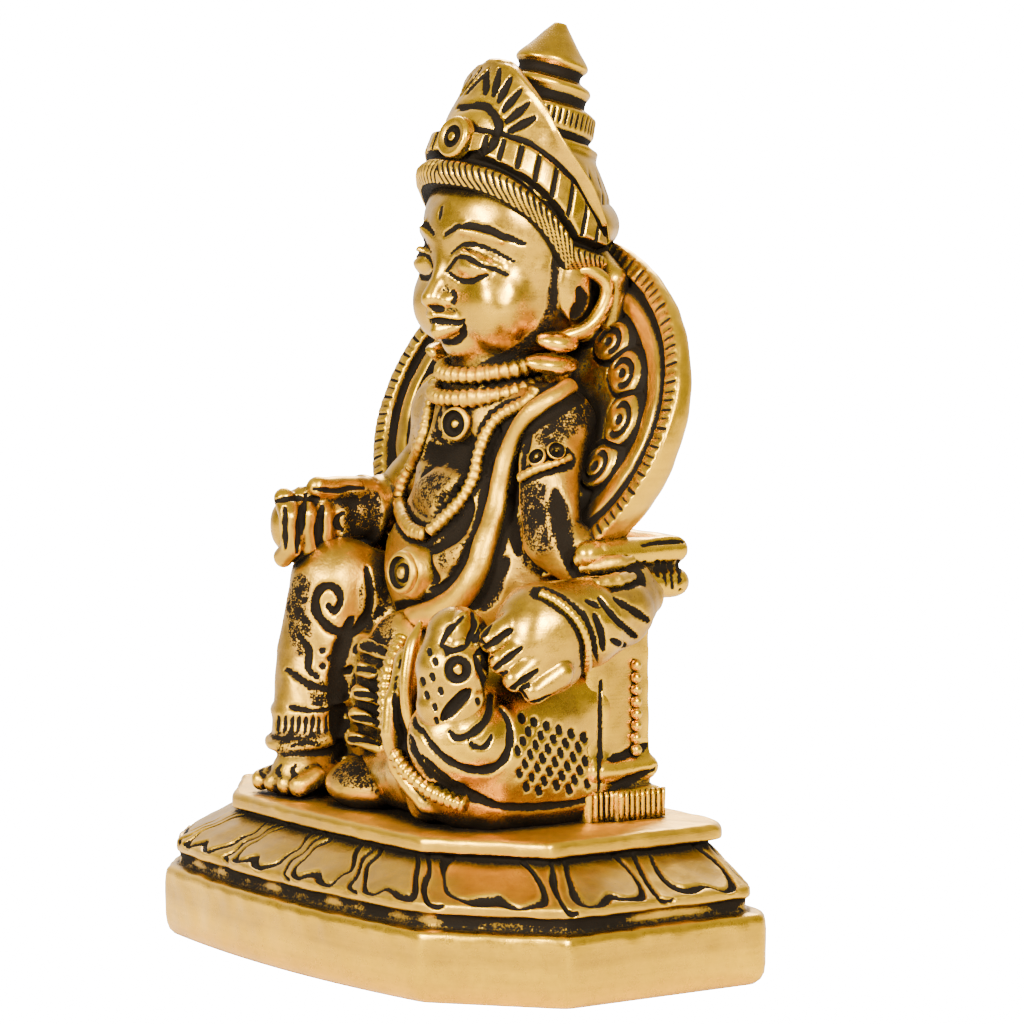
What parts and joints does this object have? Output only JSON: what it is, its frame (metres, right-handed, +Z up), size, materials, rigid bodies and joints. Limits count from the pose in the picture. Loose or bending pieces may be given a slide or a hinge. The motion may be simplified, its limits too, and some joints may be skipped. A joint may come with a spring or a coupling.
{
  "type": "kubera statue",
  "caption": "Small seated kubera idol cast in antique brass on a stepped lotus base, with a tall crown, an oval halo and a mongoose under the left hand.",
  "frame": {"origin": "centre of the flat underside, midway between the plinth's ends and on the figure's middle plane", "axes": "+Z up, the figure faces -Y, +X is the figure's own left"},
  "size_m": [0.0664, 0.0386, 0.0897],
  "materials": {
    "antique_brass": "hand polished high points over a near black patina in the recesses"
  },
  "bodies": {
    "root": {"kubera_statue": "antique_brass"}
  },
  "joints": []
}
